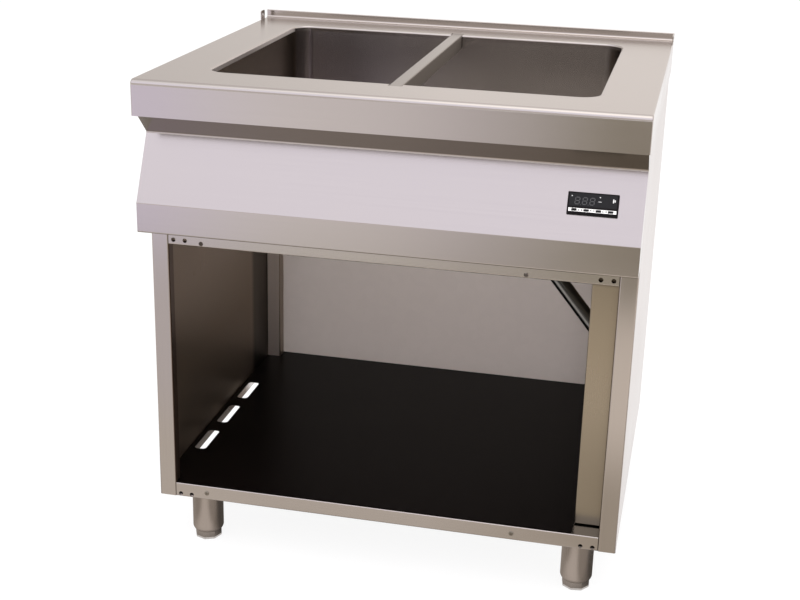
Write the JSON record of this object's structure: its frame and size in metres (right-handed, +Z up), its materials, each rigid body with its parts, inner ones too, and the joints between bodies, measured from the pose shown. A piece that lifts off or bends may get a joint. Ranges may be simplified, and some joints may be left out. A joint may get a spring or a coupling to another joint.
{
  "type": "electric bain marie",
  "caption": "Free-standing electric bain marie: a stainless worktop with a pan well and lift-off bar, a sloping control panel and an open cabinet on adjustable feet.",
  "frame": {"origin": "on the floor, under the middle of the worktop's width and depth", "axes": "+X to the right as seen by the person at the controls, +Y to the back, +Z up"},
  "size_m": [0.805, 0.7, 0.8665],
  "materials": {
    "stainless": "satin, brushed along its length",
    "stainless_well": "satin",
    "stainless_duct": "satin",
    "galvanised": "matt zinc",
    "black_coat": "matt powder coat",
    "case_plastic": "matt",
    "display": "gloss",
    "keypad_white": "matt",
    "key_plastic": "matt",
    "pipe_plastic": "smooth",
    "nickel_brass": "nickel plate",
    "pipe_steel": "satin",
    "grip_plastic": "gloss",
    "element_sheath": "heat-tinted",
    "ceramic": "matt",
    "zinc_fasteners": "bright zinc",
    "device_plastic": "matt",
    "leg_steel": "satin",
    "foot_steel": "satin"
  },
  "bodies": {
    "cabinet": {"back_panel": "galvanised", "back_panel_screws": "zinc_fasteners", "base_frame": "stainless", "bottom_shelf": "black_coat", "cable_gland": "nickel_brass", "clamp_nuts": "zinc_fasteners", "clamp_studs": "zinc_fasteners", "contactor": "device_plastic", "control_panel": "stainless", "controller_case": "case_plastic", "controller_clips": "case_plastic", "display_window": "display", "drain_elbow": "pipe_steel", "drain_outlet": "pipe_steel", "drain_pipe": "pipe_plastic", "drain_valve_body": "nickel_brass", "electrical_plate": "galvanised", "element_clamp_bars": "zinc_fasteners", "element_terminals": "ceramic", "gland_locknut": "nickel_brass", "heating_element_left": "element_sheath", "heating_element_right": "element_sheath", "keypad_strip": "keypad_white", "leg_bolts": "zinc_fasteners", "leg_front_left": "leg_steel", "leg_front_right": "leg_steel", "leg_rear_left": "leg_steel", "leg_rear_right": "leg_steel", "limiter_bulb": "element_sheath", "outlet_locknut": "nickel_brass", "pipe_couplings": "pipe_plastic", "probe_clips": "zinc_fasteners", "rail_rivets": "zinc_fasteners", "safety_thermostat": "device_plastic", "service_duct": "stainless_duct", "side_panel_left": "stainless", "side_panel_right": "stainless", "support_angle_left": "galvanised", "support_angle_right": "galvanised", "temperature_probe": "element_sheath", "terminal_block": "device_plastic", "top_front_rail": "stainless", "undercover": "galvanised", "well_tank": "stainless_well", "worktop": "stainless"},
    "cross_bar": {"cross_bar": "stainless_well"},
    "key_1": {"key_1": "key_plastic"},
    "key_2": {"key_2": "key_plastic"},
    "key_3": {"key_3": "key_plastic"},
    "key_4": {"key_4": "key_plastic"},
    "foot_front_left": {"foot_front_left": "foot_steel"},
    "foot_front_right": {"foot_front_right": "foot_steel"},
    "foot_rear_left": {"foot_rear_left": "foot_steel"},
    "foot_rear_right": {"foot_rear_right": "foot_steel"},
    "drain_lever": {"drain_valve_ball": "nickel_brass", "drain_valve_lever": "pipe_steel", "drain_lever_grip": "grip_plastic"}
  },
  "joints": [
    {"name": "cross_bar_lift", "type": "slide", "parent": "cabinet", "child": "cross_bar", "axis": [0, 0, 1], "range_m": [0, 0.12]},
    {"name": "drain_lever_turn", "type": "hinge", "parent": "cabinet", "child": "drain_lever", "pos_m": [0.20562, -0.05, 0.54679], "axis": [0, -1, 0], "range_deg": [0, 90]},
    {"name": "key_1_press", "type": "slide", "parent": "cabinet", "child": "key_1", "axis": [0, 0.8978, -0.4404], "range_m": [0, 0.0006], "stiffness_N_per_m": 1000},
    {"name": "key_2_press", "type": "slide", "parent": "cabinet", "child": "key_2", "axis": [0, 0.8978, -0.4404], "range_m": [0, 0.0006], "stiffness_N_per_m": 1000},
    {"name": "key_3_press", "type": "slide", "parent": "cabinet", "child": "key_3", "axis": [0, 0.8978, -0.4404], "range_m": [0, 0.0006], "stiffness_N_per_m": 1000},
    {"name": "key_4_press", "type": "slide", "parent": "cabinet", "child": "key_4", "axis": [0, 0.8978, -0.4404], "range_m": [0, 0.0006], "stiffness_N_per_m": 1000},
    {"name": "foot_front_left_adjust", "type": "slide", "parent": "cabinet", "child": "foot_front_left", "axis": [0, 0, -1], "range_m": [0, 0.03]},
    {"name": "foot_front_right_adjust", "type": "slide", "parent": "cabinet", "child": "foot_front_right", "axis": [0, 0, -1], "range_m": [0, 0.03]},
    {"name": "foot_rear_left_adjust", "type": "slide", "parent": "cabinet", "child": "foot_rear_left", "axis": [0, 0, -1], "range_m": [0, 0.03]},
    {"name": "foot_rear_right_adjust", "type": "slide", "parent": "cabinet", "child": "foot_rear_right", "axis": [0, 0, -1], "range_m": [0, 0.03]}
  ]
}
